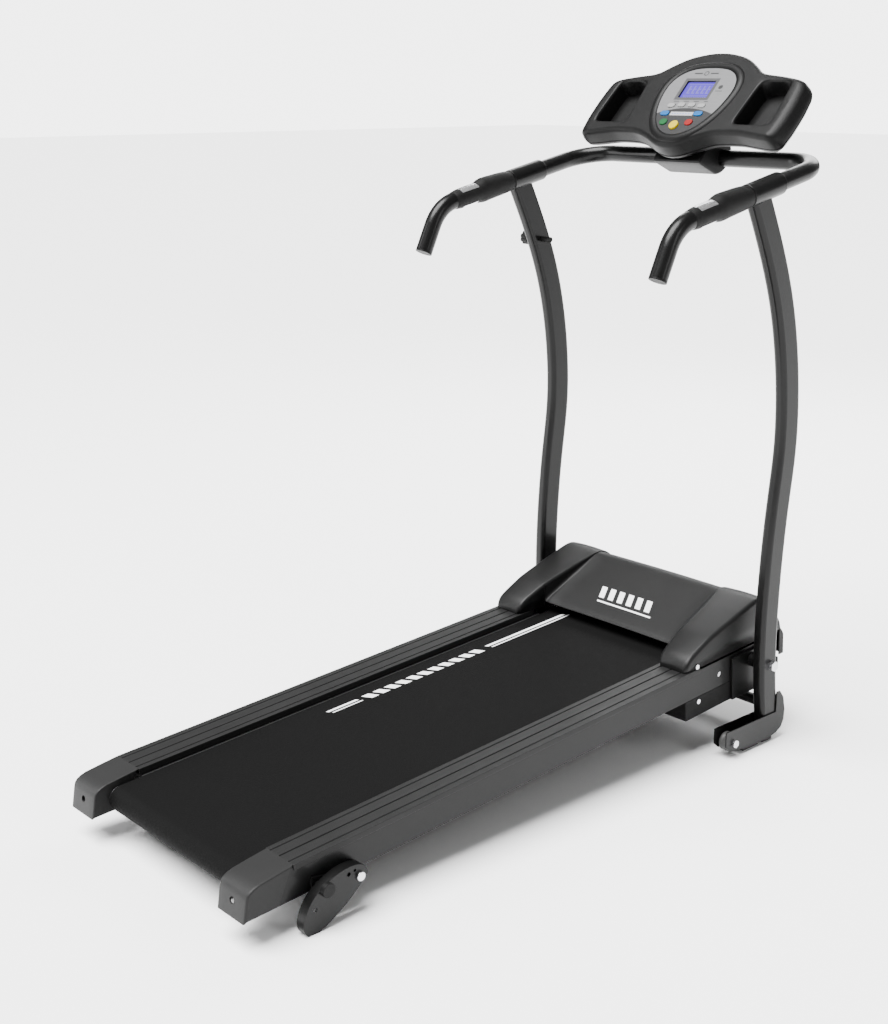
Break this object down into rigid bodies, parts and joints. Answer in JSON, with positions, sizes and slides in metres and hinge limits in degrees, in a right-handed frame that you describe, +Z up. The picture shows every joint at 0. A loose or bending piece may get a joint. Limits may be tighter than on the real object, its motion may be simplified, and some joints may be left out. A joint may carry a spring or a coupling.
{
  "type": "treadmill",
  "caption": "Folding electric treadmill with a sloping ribbed-edge deck, S-curved uprights, a handlebar loop with pulse grips and a tilted console with trays.",
  "frame": {"origin": "on the floor, at the centre of the machine's footprint", "axes": "+Z up, +Y towards the console, +X to the walker's right"},
  "size_m": [0.603, 1.2641, 1.2018],
  "materials": {
    "foot": "glossy black powder coat",
    "upright": "glossy black powder coat",
    "cross_tube": "satin black powder coat",
    "foot_pad": "moulded rubber",
    "pivot_bolt": "bright plated steel",
    "wheel_axle": "bright plated steel",
    "handlebar": "glossy black powder coat",
    "end_plug": "moulded plastic",
    "sleeve": "glossy black powder coat",
    "grip": "finely grained plastic",
    "sensor_plate": "polished stainless steel",
    "console_front": "grained plastic",
    "console_back": "grained plastic",
    "small_screw": "plated steel",
    "display_panel": "printed silver film",
    "screen": "liquid-crystal window",
    "circuit": "circuit board",
    "transport_wheel": "moulded plastic",
    "lock_knob": "moulded plastic on a steel bolt",
    "preset_button": "translucent pale key",
    "speed_button": "blue key",
    "start_button": "green key",
    "stop_button": "red key",
    "safety_key": "yellow key",
    "side_rail": "satin black powder coat",
    "foot_rail": "ribbed extrusion",
    "end_cap": "grained plastic",
    "deck_board": "waxed fibreboard, blackened",
    "crossmember": "satin black powder coat",
    "cushion": "soft rubber",
    "belt": "fine diamond-textured rubber",
    "axle": "turned steel",
    "roller": "turned steel",
    "motor": "grey enamel",
    "motor_shaft": "turned steel",
    "drive_belt": "ribbed rubber",
    "hood": "grained plastic",
    "tray": "grained plastic",
    "inlet": "moulded plastic",
    "switch": "moulded plastic",
    "hinge_plate": "glossy black powder coat",
    "case_screw": "plated steel",
    "incline_bracket": "satin black powder coat",
    "incline_foot": "glossy black powder coat",
    "incline_bolt": "bright plated steel",
    "clamp_knob": "moulded plastic"
  },
  "bodies": {
    "base": {"right_foot": "foot", "left_foot": "foot", "foot_pads": "foot_pad", "base_cross_tube": "cross_tube", "right_upright": "upright", "left_upright": "upright", "pivot_bolts": "pivot_bolt", "wheel_axles": "wheel_axle", "handlebar": "handlebar", "handle_end_plugs": "end_plug", "handle_sleeves": "sleeve", "pulse_grips": "grip", "pulse_plates": "sensor_plate", "console_front_shell": "console_front", "console_back_shell": "console_back", "console_clamp": "console_back", "console_screws": "small_screw", "display_panel": "display_panel", "lcd_screen": "screen", "console_circuit_board": "circuit"},
    "deck": {"right_side_rail": "side_rail", "left_side_rail": "side_rail", "foot_rails": "foot_rail", "end_caps": "end_cap", "deck_board": "deck_board", "deck_crossmembers": "crossmember", "deck_cushions": "cushion", "running_belt": "belt", "roller_axles": "axle", "belt_adjusters": "axle", "drive_motor": "motor", "drive_belt": "drive_belt", "motor_controller": "circuit", "motor_hood": "hood", "motor_tray": "tray", "power_inlet": "inlet", "hinge_plates": "hinge_plate", "case_screws": "case_screw", "incline_brackets": "incline_bracket", "incline_bolts": "incline_bolt"},
    "right_transport_wheel": {"right_transport_wheel": "transport_wheel"},
    "left_transport_wheel": {"left_transport_wheel": "transport_wheel"},
    "lock_bolt": {"lock_bolt": "lock_knob"},
    "speed_preset_button_1": {"speed_preset_button_1": "preset_button"},
    "speed_preset_button_2": {"speed_preset_button_2": "preset_button"},
    "speed_preset_button_3": {"speed_preset_button_3": "preset_button"},
    "speed_preset_button_4": {"speed_preset_button_4": "preset_button"},
    "slower_button": {"slower_button": "speed_button"},
    "faster_button": {"faster_button": "speed_button"},
    "start_button": {"start_button": "start_button"},
    "stop_button": {"stop_button": "stop_button"},
    "safety_key": {"safety_key": "safety_key"},
    "rear_roller": {"rear_roller": "roller"},
    "front_roller": {"front_roller": "roller"},
    "motor_shaft": {"motor_shaft": "motor_shaft"},
    "power_switch": {"power_switch": "switch"},
    "right_incline_foot": {"right_incline_foot": "incline_foot"},
    "left_incline_foot": {"left_incline_foot": "incline_foot"},
    "right_clamp_knob": {"right_clamp_knob": "clamp_knob"},
    "left_clamp_knob": {"left_clamp_knob": "clamp_knob"}
  },
  "joints": [
    {"name": "deck_fold", "type": "hinge", "parent": "base", "child": "deck", "pos_m": [0, 0.469, 0.149], "axis": [-1, 0, 0], "range_deg": [0, 90]},
    {"name": "right_wheel_spin", "type": "hinge", "parent": "base", "child": "right_transport_wheel", "pos_m": [0.2735, 0.371, 0.028], "axis": [1, 0, 0], "continuous": true},
    {"name": "left_wheel_spin", "type": "hinge", "parent": "base", "child": "left_transport_wheel", "pos_m": [-0.2735, 0.371, 0.028], "axis": [1, 0, 0], "continuous": true},
    {"name": "lock_slide", "type": "slide", "parent": "base", "child": "lock_bolt", "axis": [1, 0, 0], "range_m": [-0.006, 0.0085]},
    {"name": "front_roller_spin", "type": "hinge", "parent": "deck", "child": "front_roller", "pos_m": [0, 0.38443, 0.13997], "axis": [1, 0, 0], "continuous": true},
    {"name": "rear_roller_spin", "type": "hinge", "parent": "deck", "child": "rear_roller", "pos_m": [0, -0.58612, 0.07092], "axis": [1, 0, 0], "continuous": true},
    {"name": "motor_spin", "type": "hinge", "parent": "deck", "child": "motor_shaft", "pos_m": [0, 0.4824, 0.15797], "axis": [1, 0, 0], "continuous": true},
    {"name": "power_rocker", "type": "hinge", "parent": "deck", "child": "power_switch", "pos_m": [0.16, 0.56818, 0.15004], "axis": [1, 0, 0], "range_deg": [-12, 12]},
    {"name": "right_incline_swing", "type": "hinge", "parent": "deck", "child": "right_incline_foot", "pos_m": [0.2519, -0.44954, 0.06199], "axis": [1, 0, 0], "range_deg": [0, 40]},
    {"name": "right_clamp_turn", "type": "hinge", "parent": "right_incline_foot", "child": "right_clamp_knob", "pos_m": [0.2519, -0.51051, 0.06404], "axis": [1, 0, 0], "range_deg": [-90, 90]},
    {"name": "left_incline_swing", "type": "hinge", "parent": "deck", "child": "left_incline_foot", "pos_m": [-0.2519, -0.44954, 0.06199], "axis": [1, 0, 0], "range_deg": [0, 40]},
    {"name": "left_clamp_turn", "type": "hinge", "parent": "left_incline_foot", "child": "left_clamp_knob", "pos_m": [-0.2519, -0.51051, 0.06404], "axis": [1, 0, 0], "range_deg": [-90, 90]},
    {"name": "speed_preset_1_press", "type": "slide", "parent": "base", "child": "speed_preset_button_1", "axis": [0, 0.7218, -0.6921], "range_m": [0, 0.0012], "stiffness_N_per_m": 300, "springref_m": -0.002},
    {"name": "speed_preset_2_press", "type": "slide", "parent": "base", "child": "speed_preset_button_2", "axis": [0, 0.7218, -0.6921], "range_m": [0, 0.0012], "stiffness_N_per_m": 300, "springref_m": -0.002},
    {"name": "speed_preset_3_press", "type": "slide", "parent": "base", "child": "speed_preset_button_3", "axis": [0, 0.7218, -0.6921], "range_m": [0, 0.0012], "stiffness_N_per_m": 300, "springref_m": -0.002},
    {"name": "speed_preset_4_press", "type": "slide", "parent": "base", "child": "speed_preset_button_4", "axis": [0, 0.7218, -0.6921], "range_m": [0, 0.0012], "stiffness_N_per_m": 300, "springref_m": -0.002},
    {"name": "slower_press", "type": "slide", "parent": "base", "child": "slower_button", "axis": [0, 0.7218, -0.6921], "range_m": [0, 0.0012], "stiffness_N_per_m": 300, "springref_m": -0.002},
    {"name": "faster_press", "type": "slide", "parent": "base", "child": "faster_button", "axis": [0, 0.7218, -0.6921], "range_m": [0, 0.0012], "stiffness_N_per_m": 300, "springref_m": -0.002},
    {"name": "start_press", "type": "slide", "parent": "base", "child": "start_button", "axis": [0, 0.7218, -0.6921], "range_m": [0, 0.0012], "stiffness_N_per_m": 300, "springref_m": -0.002},
    {"name": "stop_press", "type": "slide", "parent": "base", "child": "stop_button", "axis": [0, 0.7218, -0.6921], "range_m": [0, 0.0012], "stiffness_N_per_m": 300, "springref_m": -0.002},
    {"name": "safety_key_pull", "type": "slide", "parent": "base", "child": "safety_key", "axis": [0, -0.7218, 0.6921], "range_m": [0, 0.015]}
  ],
  "couplings": [
    {"joint": "rear_roller_spin", "follows": "front_roller_spin", "ratio": 1},
    {"joint": "motor_spin", "follows": "front_roller_spin", "ratio": 1.5714}
  ]
}
